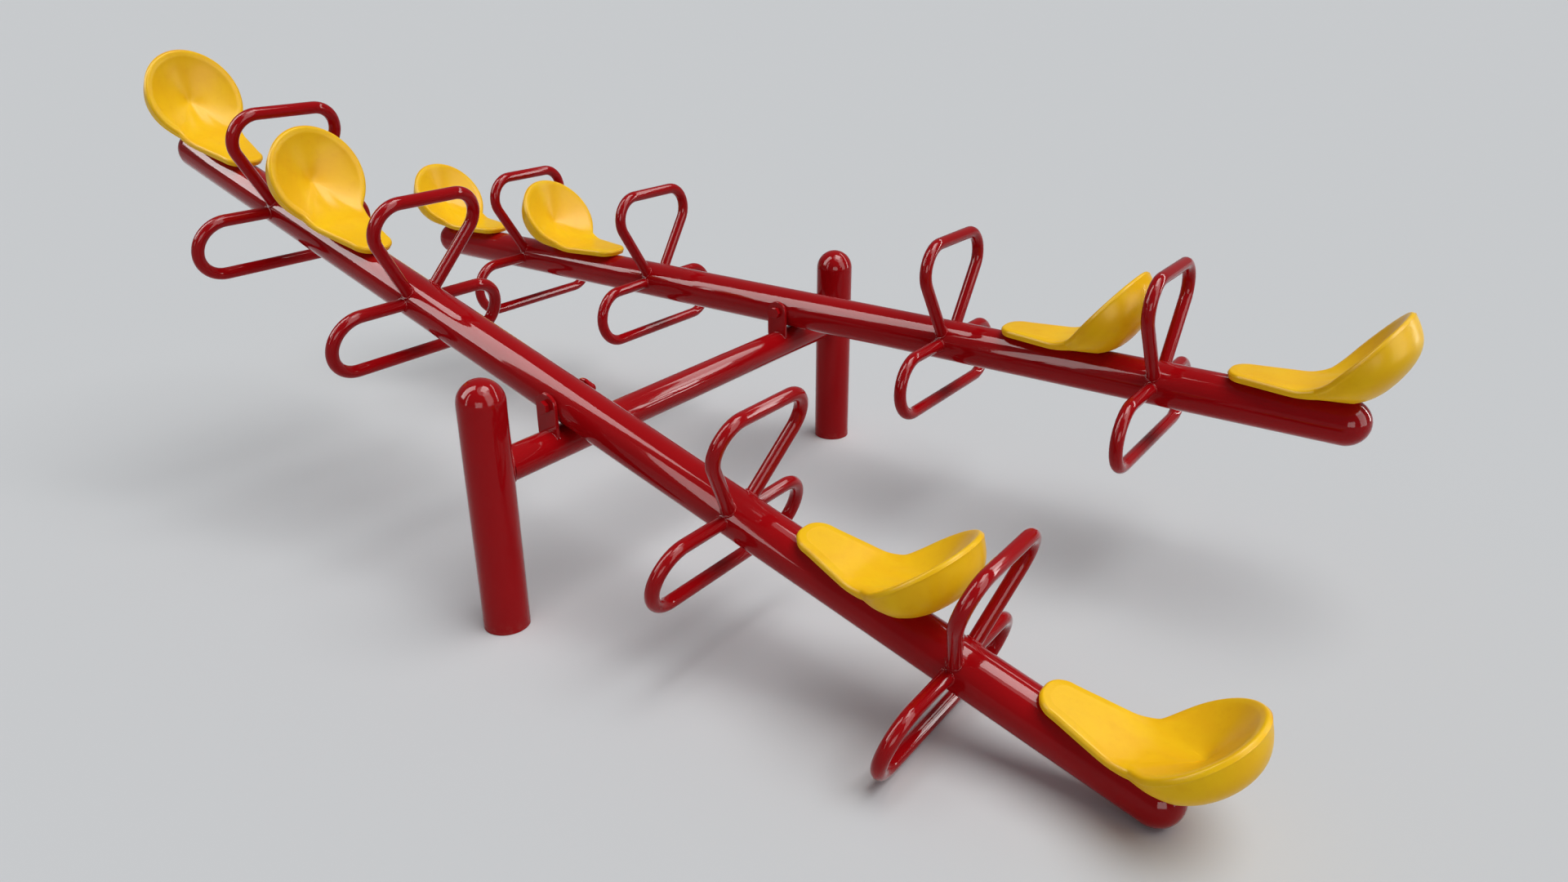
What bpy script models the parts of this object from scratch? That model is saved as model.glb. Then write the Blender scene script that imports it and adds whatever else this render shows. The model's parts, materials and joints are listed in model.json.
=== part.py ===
import bmesh
import bpy
from math import asin, atan2, cos, pi, radians, sin, sqrt
from mathutils import Vector

# A playground seesaw: two swinging beams on one low crossbar between two posts.
# Sizes are in metres. +Z is up, +Y runs along the crossbar to the far post, and
# +X runs along the beams. The origin is on the ground midway between the posts.

# Driving sizes of the frame
POST_DIAMETER = 0.1143
POST_HEIGHT = 0.646
POST_SPACING = 1.465
CROSSBAR_DIAMETER = 0.085
CROSSBAR_HEIGHT = 0.412
STRUCTURE_WALL = 0.004

# Driving sizes of the beams
BEAM_DIAMETER = 0.1143
BEAM_LENGTH = 3.306
BEAM_TO_POST = 0.2555
BEAM_TO_CROSSBAR = 0.00635

# Driving sizes of the pivots
EAR_THICKNESS = 0.010
EAR_WIDTH = 0.066
EAR_SIDE_GAP = 0.0015
EAR_EDGE_ROUND = 0.0012
PIVOT_BOLT_DIAMETER = 0.020
BOLT_HEAD_ACROSS_FLATS = 0.030
BOLT_HEAD_THICKNESS = 0.0125
NUT_THICKNESS = 0.016
WASHER_DIAMETER = 0.037
WASHER_THICKNESS = 0.003
BOLT_END_STICKOUT = 0.006
HEX_EDGE_CHAMFER = 0.0009
SLEEVE_DIAMETER = 0.038
BUSH_DIAMETER = 0.028
BUSH_FLANGE_DIAMETER = 0.035
BUSH_FLANGE_THICKNESS = 0.0009
BUSH_LENGTH = 0.030
NEAR_BOLT_TURN = 0.0
FAR_BOLT_TURN = radians(30)

# Driving sizes of the handles and footrests
RAIL_DIAMETER = 0.0334
RAIL_WALL = 0.0026
INNER_HANDLE_STATION = 0.554
OUTER_HANDLE_TO_END = 0.501
HANDLE_HEIGHT = 0.2936
HANDLE_HALF_WIDTH_AT_TOP = 0.2136
HANDLE_HALF_WIDTH_AT_FOOT = 0.021
HANDLE_CORNER_RADIUS = 0.0698
FOOTREST_HALF_WIDTH = 0.2642
FOOTREST_DROP = 0.1625
# How far out from the beam's middle each pipe starts, as a share of the beam's radius
HANDLE_START = 0.375
FOOTREST_START = 0.625

# Driving sizes of the seats
SEAT_BEHIND_HANDLE = 0.325
SEAT_TONGUE_LENGTH = 0.151
SEAT_TONGUE_HALF_WIDTH = 0.0526
SEAT_TONGUE_CORNER = 0.045
SEAT_NECK_HALF_WIDTH = 0.0858
SEAT_NECK_RADIUS = 0.012
SEAT_BOWL_RADIUS = 0.1326
SEAT_BOWL_CENTRE = 0.1593
SEAT_BEND_RADIUS = 0.1012
SEAT_BACK_ANGLE = radians(52.5)
SEAT_RIM_HEIGHT = 0.0163
SEAT_RIM_ROUND = 0.0065
SEAT_TONGUE_CROWN = 0.0076
SEAT_TONGUE_LIP_INSET = 0.011
SEAT_TONGUE_LIP_HEIGHT = 0.0072
SEAT_BOWL_LIP_INSET = 0.008
SEAT_BOWL_LIP_HEIGHT = 0.0056
SEAT_DISH_REACH = 0.152
SEAT_DISH_RISE = 0.081
SEAT_DISH_CURVE = 1.9
# The rows of the skin swing from square across the tongue to the dish's lowest point
SEAT_RAMP_START = -0.036
SEAT_RAMP_END = 0.063
SEAT_BOWL_START = 0.1
# The dish wall leaves the lip square to it, this steeply, for this share of its length
SEAT_WALL_STEEPNESS = radians(26)
SEAT_WALL_PULL = 0.33
SEAT_WALL_THIRDS = (0.33, 0.67)
SEAT_UNDERSIDE_REACH = 0.12
# Fullness of the bowl's underside: how far it falls below the rim before it turns in,
# and how wide it still is when it reaches the sole
SEAT_UNDERSIDE_FALL = 0.45
SEAT_UNDERSIDE_SPREAD = 0.8
STUD_DIAMETER = 0.010
STUD_LENGTH = 0.013
STUD_STATION = -0.05

# Clearance between pieces that touch
FIT_GAP = 0.0003

# Facet counts
BIG_TUBE_SIDES = 24
SMALL_ROUND_SIDES = 16
BOLT_SIDES = 16
RAIL_BEVEL_RESOLUTION = 3
RAIL_BORE_BEVEL_RESOLUTION = 1
DOME_STEPS = 6
BORE_DOME_STEPS = 3
CORNER_STEPS = 5
LOOP_END_STEPS = 8
EAR_STEPS = 12
SEAT_CORNER_STEPS = 4
SEAT_NECK_STEPS = 2
SEAT_BOWL_STEPS = 8
SEAT_UNDERSIDE_STEPS = 4

# Where the seat's dish is divided between its middle line and its lip, and the
# angles of the rim's roll from the lip over the top to the underside
SEAT_SIDE_SHARES = (0.44, 0.64, 0.82)
SEAT_DISH_SHARES = (0.0, 0.4, 0.77, 1.0)
SEAT_ROLL_ANGLES = [radians(angle) for angle in (92, 42, -8, -60)]

# Sizes worked out from the driving sizes
POST_RADIUS = POST_DIAMETER / 2
CROSSBAR_RADIUS = CROSSBAR_DIAMETER / 2
BEAM_RADIUS = BEAM_DIAMETER / 2
BEAM_SPACING = POST_SPACING - 2 * BEAM_TO_POST
OUTER_HANDLE_STATION = BEAM_LENGTH / 2 - OUTER_HANDLE_TO_END
RAIL_RADIUS = RAIL_DIAMETER / 2
BOLT_RADIUS = PIVOT_BOLT_DIAMETER / 2
PIVOT_HEIGHT = CROSSBAR_HEIGHT + CROSSBAR_RADIUS + BEAM_TO_CROSSBAR + BEAM_RADIUS
CAP_CENTRE = BEAM_LENGTH / 2 - BEAM_RADIUS
GROUND_TILT = asin((PIVOT_HEIGHT - BEAM_RADIUS) / CAP_CENTRE)
EAR_INNER_FACE = BEAM_RADIUS + EAR_SIDE_GAP
EAR_OUTER_FACE = EAR_INNER_FACE + EAR_THICKNESS
SEAT_SOLE = BEAM_RADIUS + FIT_GAP

RED_PAINT = ("red_paint", (0.42, 0.012, 0.016, 1), 0.18, 0.0)
YELLOW_PLASTIC = ("yellow_plastic", (0.85, 0.50, 0.015, 1), 0.28, 0.0)
BUSH_NYLON = ("bush_nylon", (0.03, 0.03, 0.035, 1), 0.55, 0.0)
ZINC_STEEL = ("zinc_steel", (0.55, 0.56, 0.58, 1), 0.35, 1.0)


def clear_scene():
    for obj in list(bpy.data.objects):
        bpy.data.objects.remove(obj, do_unlink=True)


def new_collection(name):
    collection = bpy.data.collections.new(name)
    bpy.context.scene.collection.children.link(collection)
    return collection


def make_material(name, colour, roughness, metallic):
    material = bpy.data.materials.new(name)
    material.use_nodes = True
    shader = material.node_tree.nodes["Principled BSDF"]
    shader.inputs["Base Color"].default_value = colour
    shader.inputs["Roughness"].default_value = roughness
    shader.inputs["Metallic"].default_value = metallic
    return material


def place(name, mesh, location=(0, 0, 0), rotation=(0, 0, 0), parent=None):
    obj = bpy.data.objects.new(name, mesh)
    PART.objects.link(obj)
    obj.location = location
    obj.rotation_euler = rotation
    obj.parent = parent
    return obj


def draft(mesh, location=(0, 0, 0), rotation=(0, 0, 0)):
    # An object that is only used to make another piece's mesh
    obj = bpy.data.objects.new("draft", mesh)
    CUTTERS.objects.link(obj)
    obj.location = location
    obj.rotation_euler = rotation
    obj.hide_render = True
    obj.display_type = "WIRE"
    return obj


def bake(obj):
    # The mesh of an object after its modifiers, in the object's own axes
    graph = bpy.context.evaluated_depsgraph_get()
    mesh = bpy.data.meshes.new_from_object(obj.evaluated_get(graph))
    bpy.data.objects.remove(obj, do_unlink=True)
    return mesh


def clean(mesh, distance=1e-6):
    bm = bmesh.new()
    bm.from_mesh(mesh)
    bmesh.ops.remove_doubles(bm, verts=bm.verts, dist=distance)
    bmesh.ops.recalc_face_normals(bm, faces=bm.faces)
    bm.to_mesh(mesh)
    bm.free()
    return mesh


def shade(mesh, material, sharp_angle=radians(35)):
    mesh.materials.clear()
    mesh.materials.append(material)
    mesh.shade_smooth()
    mesh.set_sharp_from_angle(angle=sharp_angle)
    return mesh


def combine(obj, tools, operation="DIFFERENCE"):
    for tool in tools:
        modifier = obj.modifiers.new("combine", "BOOLEAN")
        modifier.object = tool
        modifier.operation = operation
        modifier.solver = "EXACT"
    bpy.context.view_layer.update()
    mesh = bake(obj)
    for tool in tools:
        bpy.data.objects.remove(tool, do_unlink=True)
    return clean(mesh)


def revolve(profile, sides, closed=True):
    # Profile points are (radius, height) and run down the outer side first
    mesh = bpy.data.meshes.new("profile")
    count = len(profile)
    edges = [(i, i + 1) for i in range(count - 1)]
    if closed:
        edges.append((count - 1, 0))
    mesh.from_pydata([(radius, 0, height) for radius, height in profile], edges, [])
    obj = draft(mesh)
    screw = obj.modifiers.new("revolve", "SCREW")
    screw.axis = "Z"
    screw.angle = 2 * pi
    screw.steps = sides
    screw.render_steps = sides
    screw.use_merge_vertices = True
    screw.merge_threshold = 1e-6
    bpy.context.view_layer.update()
    return clean(bake(obj))


def disc_stack(radius, low, high, sides):
    return revolve([(0, high), (radius, high), (radius, low), (0, low)], sides, closed=False)


def ring(outer, inner, low, high, sides):
    return revolve([(outer, high), (outer, low), (inner, low), (inner, high)], sides)


def arc(centre, radius, start, end, steps):
    angles = [start + (end - start) * i / steps for i in range(steps + 1)]
    return [(centre[0] + radius * cos(a), centre[1] + radius * sin(a)) for a in angles]


def bent_tube(points, radius, bevel_resolution):
    # A round bar that follows (across, up) points in the YZ plane
    curve = bpy.data.curves.new("rail", "CURVE")
    curve.dimensions = "3D"
    curve.bevel_depth = radius
    curve.bevel_resolution = bevel_resolution
    curve.use_fill_caps = True
    spline = curve.splines.new("POLY")
    spline.points.add(len(points) - 1)
    for point, (across, up) in zip(spline.points, points):
        point.co = (0, across, up, 1)
    obj = draft(curve)
    bpy.context.view_layer.update()
    return clean(bake(obj), 1e-5)


def flat_plate(outlines, thickness):
    # A plate in the XZ plane, half its thickness to each side of y = 0
    curve = bpy.data.curves.new("plate", "CURVE")
    curve.dimensions = "2D"
    curve.fill_mode = "BOTH"
    curve.extrude = thickness / 2
    for outline in outlines:
        spline = curve.splines.new("POLY")
        spline.points.add(len(outline) - 1)
        spline.use_cyclic_u = True
        for point, (x, y) in zip(spline.points, outline):
            point.co = (x, y, 0, 1)
    obj = draft(curve)
    bpy.context.view_layer.update()
    return clean(bake(obj), 1e-5)


def hex_prism(across_flats, low, high):
    bm = bmesh.new()
    corner_radius = across_flats / 2 / cos(pi / 6)
    bmesh.ops.create_cone(
        bm, cap_ends=True, segments=6, radius1=corner_radius, radius2=corner_radius, depth=high - low
    )
    bmesh.ops.translate(bm, verts=bm.verts, vec=(0, 0, (high + low) / 2))
    mesh = bpy.data.meshes.new("hex")
    bm.to_mesh(mesh)
    bm.free()
    return mesh


def soften_edges(mesh, width, angle):
    obj = draft(mesh)
    bevel = obj.modifiers.new("soften", "BEVEL")
    bevel.width = width
    bevel.segments = 1
    bevel.limit_method = "ANGLE"
    bevel.angle_limit = angle
    bpy.context.view_layer.update()
    return clean(bake(obj))


def dome_mesh(radius):
    # A pressed half-ball shell whose open rim is at height 0
    inner = radius - STRUCTURE_WALL
    outside = arc((0, 0), radius, pi / 2, 0, DOME_STEPS)
    inside = arc((0, 0), inner, 0, pi / 2, BORE_DOME_STEPS)
    profile = [(abs(x), z) for x, z in outside + inside]
    profile[0] = (0, radius)
    profile[-1] = (0, inner)
    return revolve(profile, BIG_TUBE_SIDES, closed=False)


def build_posts():
    # Each tube is closed at the foot by a flat end plate that sits on the ground
    dome_base = POST_HEIGHT - POST_RADIUS
    top = dome_base - FIT_GAP
    bore = POST_RADIUS - STRUCTURE_WALL
    profile = [(0, STRUCTURE_WALL), (bore, STRUCTURE_WALL), (bore, top)]
    profile += [(POST_RADIUS, top), (POST_RADIUS, 0), (0, 0)]
    tube = shade(revolve(profile, BIG_TUBE_SIDES, closed=False), PAINT)
    dome = shade(dome_mesh(POST_RADIUS), PAINT)
    for side, y in (("near", -POST_SPACING / 2), ("far", POST_SPACING / 2)):
        place(side + "_post_tube", tube, (0, y, 0))
        place(side + "_post_dome", dome, (0, y, dome_base))


def build_crossbar():
    half = POST_SPACING / 2
    bar = draft(
        ring(CROSSBAR_RADIUS, CROSSBAR_RADIUS - STRUCTURE_WALL, -half, half, BIG_TUBE_SIDES)
    )
    cutter_reach = CROSSBAR_DIAMETER
    tools = []
    for z in (-half, half):
        cutter = disc_stack(POST_RADIUS + FIT_GAP, -cutter_reach, cutter_reach, BIG_TUBE_SIDES)
        tools.append(draft(cutter, (0, 0, z), (pi / 2, 0, 0)))
    place("crossbar", shade(combine(bar, tools), PAINT), (0, 0, CROSSBAR_HEIGHT), (pi / 2, 0, 0))


def ear_outline():
    # Full-round top about the pivot, straight sides and a saddle on the crossbar
    half_width = EAR_WIDTH / 2
    saddle_radius = CROSSBAR_RADIUS + FIT_GAP
    saddle_centre = CROSSBAR_HEIGHT - PIVOT_HEIGHT
    saddle_half_angle = asin(half_width / saddle_radius)
    top = arc((0, 0), half_width, 0, pi, EAR_STEPS)
    saddle = arc(
        (0, saddle_centre),
        saddle_radius,
        pi / 2 + saddle_half_angle,
        pi / 2 - saddle_half_angle,
        EAR_STEPS,
    )
    return top + saddle


def build_ears():
    hole = arc((0, 0), BOLT_RADIUS + FIT_GAP, 0, 2 * pi, BOLT_SIDES)[:-1]
    plate = flat_plate([ear_outline(), hole], EAR_THICKNESS)
    plate = shade(soften_edges(plate, EAR_EDGE_ROUND, radians(80)), PAINT)
    offset = (EAR_INNER_FACE + EAR_OUTER_FACE) / 2
    for side, y in BEAM_PLACES:
        for face, shift in (("outer", -offset), ("inner", offset)):
            # The outer ear carries the bolt head and the inner ear carries the nut
            place(side + "_ear_" + face, plate, (0, y + shift, PIVOT_HEIGHT), (pi / 2, 0, 0))


def pivot_bolt_mesh():
    # The head starts at height 0 and the shank runs down from it
    washer_face = -2 * EAR_OUTER_FACE - 2 * FIT_GAP
    shank_end = washer_face - WASHER_THICKNESS - NUT_THICKNESS - 2 * FIT_GAP - BOLT_END_STICKOUT
    head = hex_prism(BOLT_HEAD_ACROSS_FLATS, 0, BOLT_HEAD_THICKNESS)
    head = soften_edges(head, HEX_EDGE_CHAMFER, radians(75))
    shank = disc_stack(BOLT_RADIUS, shank_end, BOLT_HEAD_THICKNESS / 2, BOLT_SIDES)
    return combine(draft(head), [draft(shank)], "UNION")


def pivot_nut_mesh():
    nut = hex_prism(BOLT_HEAD_ACROSS_FLATS, 0, NUT_THICKNESS)
    nut = soften_edges(nut, HEX_EDGE_CHAMFER, radians(75))
    bore = disc_stack(BOLT_RADIUS + FIT_GAP, -NUT_THICKNESS, 2 * NUT_THICKNESS, BOLT_SIDES)
    return combine(draft(nut), [draft(bore)])


def build_pivot_fasteners():
    bolt = shade(pivot_bolt_mesh(), PAINT)
    nut = shade(pivot_nut_mesh(), PAINT)
    washer = shade(
        ring(WASHER_DIAMETER / 2, BOLT_RADIUS + FIT_GAP, 0, WASHER_THICKNESS, BOLT_SIDES), PAINT
    )
    head_face = -EAR_OUTER_FACE - FIT_GAP
    washer_face = EAR_OUTER_FACE + FIT_GAP
    nut_face = washer_face + WASHER_THICKNESS + FIT_GAP
    turns = {"near": NEAR_BOLT_TURN, "far": FAR_BOLT_TURN}
    for side, y in BEAM_PLACES:
        place(
            side + "_pivot_bolt", bolt, (0, y + head_face, PIVOT_HEIGHT), (pi / 2, turns[side], 0)
        )
        place(side + "_pivot_washer", washer, (0, y + washer_face, PIVOT_HEIGHT), (-pi / 2, 0, 0))
        place(side + "_pivot_nut", nut, (0, y + nut_face, PIVOT_HEIGHT), (-pi / 2, 0, 0))


def beam_tube_mesh():
    # The tube's own Z runs along the beam, with a cross hole for the pivot sleeve
    half = CAP_CENTRE - FIT_GAP
    tube = draft(ring(BEAM_RADIUS, BEAM_RADIUS - STRUCTURE_WALL, -half, half, BIG_TUBE_SIDES))
    hole = disc_stack(
        SLEEVE_DIAMETER / 2 + FIT_GAP, -BEAM_DIAMETER, BEAM_DIAMETER, SMALL_ROUND_SIDES
    )
    return combine(tube, [draft(hole, rotation=(pi / 2, 0, 0))])


def pivot_bush_mesh():
    # The flange lies on top of height 0 and the barrel runs down into the sleeve
    flange = BUSH_FLANGE_DIAMETER / 2
    barrel = BUSH_DIAMETER / 2
    bore = BOLT_RADIUS + FIT_GAP
    top = BUSH_FLANGE_THICKNESS
    profile = [(flange, top), (flange, 0), (barrel, 0), (barrel, -BUSH_LENGTH)]
    profile += [(bore, -BUSH_LENGTH), (bore, top)]
    return revolve(profile, SMALL_ROUND_SIDES)


def handle_points():
    # A hoop with splayed legs, from inside the beam's wall round to the other side
    lean = Vector((HANDLE_HALF_WIDTH_AT_TOP - HANDLE_HALF_WIDTH_AT_FOOT, HANDLE_HEIGHT))
    lean_angle = atan2(lean.y, lean.x)
    turn = pi - lean_angle
    setback = HANDLE_CORNER_RADIUS * sin(turn / 2) / cos(turn / 2)
    centre = (HANDLE_HALF_WIDTH_AT_TOP - setback, HANDLE_HEIGHT - HANDLE_CORNER_RADIUS)
    corner = arc(centre, HANDLE_CORNER_RADIUS, lean_angle - pi / 2, pi / 2, CORNER_STEPS)
    start = Vector((HANDLE_HALF_WIDTH_AT_FOOT, 0)) + lean.normalized() * (BEAM_RADIUS * HANDLE_START)
    side = [tuple(start)] + corner
    return side + [(-across, up) for across, up in reversed(side)]


def footrest_points():
    # A stadium loop that leaves one side of the beam and returns to the other
    end_radius = FOOTREST_DROP / 2
    centre = (FOOTREST_HALF_WIDTH - end_radius, -end_radius)
    side = [(BEAM_RADIUS * FOOTREST_START, 0)]
    side += arc(centre, end_radius, pi / 2, -pi / 2, LOOP_END_STEPS)
    return side + [(-across, up) for across, up in reversed(side)]


def rail_mesh(points):
    # A bent pipe whose ends are cut to sit on the beam
    bar = draft(bent_tube(points, RAIL_RADIUS, RAIL_BEVEL_RESOLUTION))
    bore = bent_tube(points, RAIL_RADIUS - RAIL_WALL, RAIL_BORE_BEVEL_RESOLUTION)
    reach = 2 * RAIL_DIAMETER
    beam = disc_stack(BEAM_RADIUS + FIT_GAP, -reach, reach, BIG_TUBE_SIDES)
    return combine(bar, [draft(bore), draft(beam, rotation=(0, pi / 2, 0))])


def seat_outline():
    # One side of the rim laid flat: tongue tip, straight side, neck, round bowl
    tip = -SEAT_TONGUE_LENGTH
    neck_centre = SEAT_NECK_HALF_WIDTH + SEAT_NECK_RADIUS
    neck_station = SEAT_BOWL_CENTRE - sqrt(
        (SEAT_BOWL_RADIUS + SEAT_NECK_RADIUS) ** 2 - neck_centre**2
    )
    corner = SEAT_TONGUE_CORNER
    corner_centre = (tip + corner, SEAT_TONGUE_HALF_WIDTH - corner)
    points = [(tip, 0)] + arc(corner_centre, corner, pi, pi / 2, SEAT_CORNER_STEPS)
    side_start = Vector((tip + corner, SEAT_TONGUE_HALF_WIDTH))
    side_end = Vector((neck_station, SEAT_NECK_HALF_WIDTH))
    points += [tuple(side_start.lerp(side_end, share)) for share in SEAT_SIDE_SHARES]
    to_bowl = atan2(-neck_centre, SEAT_BOWL_CENTRE - neck_station)
    points += arc(
        (neck_station, neck_centre), SEAT_NECK_RADIUS, -pi / 2, to_bowl, SEAT_NECK_STEPS
    )
    bowl_start = atan2(neck_centre, neck_station - SEAT_BOWL_CENTRE)
    points += arc((SEAT_BOWL_CENTRE, 0), SEAT_BOWL_RADIUS, bowl_start, 0, SEAT_BOWL_STEPS)[1:]
    points[-1] = (points[-1][0], 0)
    return points


def seat_bend(station):
    # Rolls the flat seat up into its back: place, direction along and direction up
    bend_length = SEAT_BEND_RADIUS * SEAT_BACK_ANGLE
    turn = min(max(station, 0), bend_length) / SEAT_BEND_RADIUS
    straight = max(station - bend_length, 0)
    along = min(station, 0) + SEAT_BEND_RADIUS * sin(turn) + straight * cos(turn)
    up = SEAT_BEND_RADIUS * (1 - cos(turn)) + straight * sin(turn)
    place = Vector((along, 0, SEAT_SOLE + SEAT_RIM_HEIGHT + up))
    return place, Vector((cos(turn), 0, sin(turn))), Vector((-sin(turn), 0, cos(turn)))


def smooth_share(value, start, end):
    share = min(max((value - start) / (end - start), 0), 1)
    return share * share * (3 - 2 * share)


def cubic(start, first, second, end, share):
    rest = 1 - share
    point = start * rest**3 + first * 3 * share * rest**2
    return point + second * 3 * share**2 * rest + end * share**3


def seat_top_spine(station):
    # Middle line of the upper face: flat tongue, then a ramp to the lowest dish point
    along = station
    if station > SEAT_RAMP_START:
        ramp = SEAT_RAMP_END - SEAT_RAMP_START
        share = min((station - SEAT_RAMP_START) / ramp, 1)
        ahead = smooth_share(share, 0, 1)
        along = SEAT_RAMP_START * (1 - ahead) + ramp * share * (1 - share) ** 2 + SEAT_DISH_REACH * ahead
    level = SEAT_SOLE + SEAT_RIM_HEIGHT + SEAT_TONGUE_CROWN
    rise = SEAT_SOLE + SEAT_DISH_RISE - level
    return Vector((along, 0, level + rise * (max(along, 0) / SEAT_DISH_REACH) ** SEAT_DISH_CURVE))


def seat_row(outline, index):
    # One line across the skin, from the upper middle line over the rim to the sole
    station, across = outline[index]
    origin, along, up = seat_bend(station)
    rim = origin + Vector((0, across, 0))
    before = Vector(outline[max(index - 1, 0)])
    after = Vector(outline[min(index + 1, len(outline) - 1)])
    run = (after - before).normalized()
    if index == 0:
        run = Vector((0, 1))
    if index == len(outline) - 1:
        run = Vector((0, -1))
    out = -run.y * along + run.x * Vector((0, 1, 0))
    bowl = smooth_share(station, SEAT_RAMP_START, SEAT_BOWL_START)
    inset = SEAT_TONGUE_LIP_INSET * (1 - bowl) + SEAT_BOWL_LIP_INSET * bowl
    height = SEAT_TONGUE_LIP_HEIGHT * (1 - bowl) + SEAT_BOWL_LIP_HEIGHT * bowl
    lip = rim - out * inset + up * height
    first_station = -SEAT_TONGUE_LENGTH + SEAT_TONGUE_CORNER
    middle = seat_top_spine(max(station, first_station))
    near_middle, near_lip = [middle.lerp(lip, share) for share in SEAT_WALL_THIRDS]
    steepness = SEAT_WALL_STEEPNESS * bowl
    pull = (lip - middle).length * SEAT_WALL_PULL
    square = lip - (out * cos(steepness) + up * sin(steepness)) * pull
    near_lip = near_lip.lerp(square, bowl)
    row = [cubic(middle, near_middle, near_lip, lip, share) for share in SEAT_DISH_SHARES]
    row += [rim + (out * cos(angle) + up * sin(angle)) * SEAT_RIM_ROUND for angle in SEAT_ROLL_ANGLES]
    under = row[-1]
    sole_share = min(max(station, 0) / SEAT_BOWL_CENTRE, 1)
    sole_place = max(min(station, 0), first_station) + SEAT_UNDERSIDE_REACH * sole_share
    sole = Vector((sole_place, 0, SEAT_SOLE))
    fall = 1 - (1 - SEAT_UNDERSIDE_FALL) * bowl
    fallen = under - up * (under.z - SEAT_SOLE) * fall
    fallen.z = max(fallen.z, SEAT_SOLE)
    spread = sole + Vector((under.x - sole.x, under.y, 0)) * SEAT_UNDERSIDE_SPREAD
    shares = [step / SEAT_UNDERSIDE_STEPS for step in range(1, SEAT_UNDERSIDE_STEPS + 1)]
    return row + [cubic(under, fallen, spread, sole, share) for share in shares]


def seat_mesh():
    outline = seat_outline()
    rows = [seat_row(outline, index) for index in range(len(outline))]
    last_row = len(rows) - 1
    last_column = len(rows[0]) - 1
    bm = bmesh.new()
    bmesh.ops.create_grid(bm, x_segments=2 * last_row, y_segments=last_column, size=1)
    for vert in bm.verts:
        step = round((vert.co.x + 1) * last_row)
        column = round((vert.co.y + 1) / 2 * last_column)
        row = step if step <= last_row else 2 * last_row - step
        side = 1 if step <= last_row else -1
        point = rows[row][column]
        vert.co = (point.x, side * point.y, point.z)
    mesh = bpy.data.meshes.new("seat")
    bm.to_mesh(mesh)
    bm.free()
    clean(mesh, 1e-5)
    hole_top = SEAT_SOLE + STUD_LENGTH + FIT_GAP
    hole = disc_stack(STUD_DIAMETER / 2 + FIT_GAP, SEAT_SOLE - STUD_LENGTH, hole_top, BOLT_SIDES)
    return combine(draft(mesh), [draft(hole, (STUD_STATION, 0, 0))])


def build_beam(side, y, tilt, meshes):
    pivot = bpy.data.objects.new(side + "_beam_pivot", None)
    PART.objects.link(pivot)
    pivot.location = (0, y, PIVOT_HEIGHT)
    pivot.rotation_euler = (0, tilt, 0)
    place(side + "_beam_tube", meshes["tube"], rotation=(0, pi / 2, 0), parent=pivot)
    place(side + "_pivot_sleeve", meshes["sleeve"], rotation=(pi / 2, 0, 0), parent=pivot)
    flange_face = BEAM_RADIUS + FIT_GAP
    place(side + "_bush_outer", meshes["bush"], (0, -flange_face, 0), (pi / 2, 0, 0), pivot)
    place(side + "_bush_inner", meshes["bush"], (0, flange_face, 0), (-pi / 2, 0, 0), pivot)
    for end, sign, turn in (("a", 1, 0), ("b", -1, pi)):
        cap_turn = (0, pi / 2, turn)
        place(side + "_beam_cap_" + end, meshes["dome"], (sign * CAP_CENTRE, 0, 0), cap_turn, pivot)
        for rank, station in (("inner", INNER_HANDLE_STATION), ("outer", OUTER_HANDLE_STATION)):
            seat = station + SEAT_BEHIND_HANDLE
            rider_places = {
                "handle": station,
                "footrest": station,
                "seat": seat,
                "seat_stud": seat + STUD_STATION,
            }
            for kind, along in rider_places.items():
                name = "_".join((side, kind, end, rank))
                place(name, meshes[kind], (sign * along, 0, 0), (0, 0, turn), pivot)


def build_beams():
    sleeve_bore = BUSH_DIAMETER / 2 + FIT_GAP
    meshes = {
        "tube": shade(beam_tube_mesh(), PAINT),
        "dome": shade(dome_mesh(BEAM_RADIUS), PAINT),
        "sleeve": shade(
            ring(SLEEVE_DIAMETER / 2, sleeve_bore, -BEAM_RADIUS, BEAM_RADIUS, SMALL_ROUND_SIDES), PAINT
        ),
        "bush": shade(pivot_bush_mesh(), NYLON),
        "handle": shade(rail_mesh(handle_points()), PAINT),
        "footrest": shade(rail_mesh(footrest_points()), PAINT),
        "seat": shade(seat_mesh(), PLASTIC, radians(60)),
        "seat_stud": shade(
            disc_stack(STUD_DIAMETER / 2, SEAT_SOLE, SEAT_SOLE + STUD_LENGTH, BOLT_SIDES), ZINC
        ),
    }
    tilts = {"near": GROUND_TILT, "far": 0.0}
    for side, y in BEAM_PLACES:
        build_beam(side, y, tilts[side], meshes)


BEAM_PLACES = (("near", -BEAM_SPACING / 2), ("far", BEAM_SPACING / 2))

clear_scene()
PART = new_collection("seesaw")
CUTTERS = new_collection("cutters")
PAINT = make_material(*RED_PAINT)
PLASTIC = make_material(*YELLOW_PLASTIC)
NYLON = make_material(*BUSH_NYLON)
ZINC = make_material(*ZINC_STEEL)
build_posts()
build_crossbar()
build_ears()
build_pivot_fasteners()
build_beams()
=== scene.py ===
import json
from math import atan2, cos, pi, radians, sin, sqrt, tan

import bmesh
import bpy
from mathutils import Matrix, Vector


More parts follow.
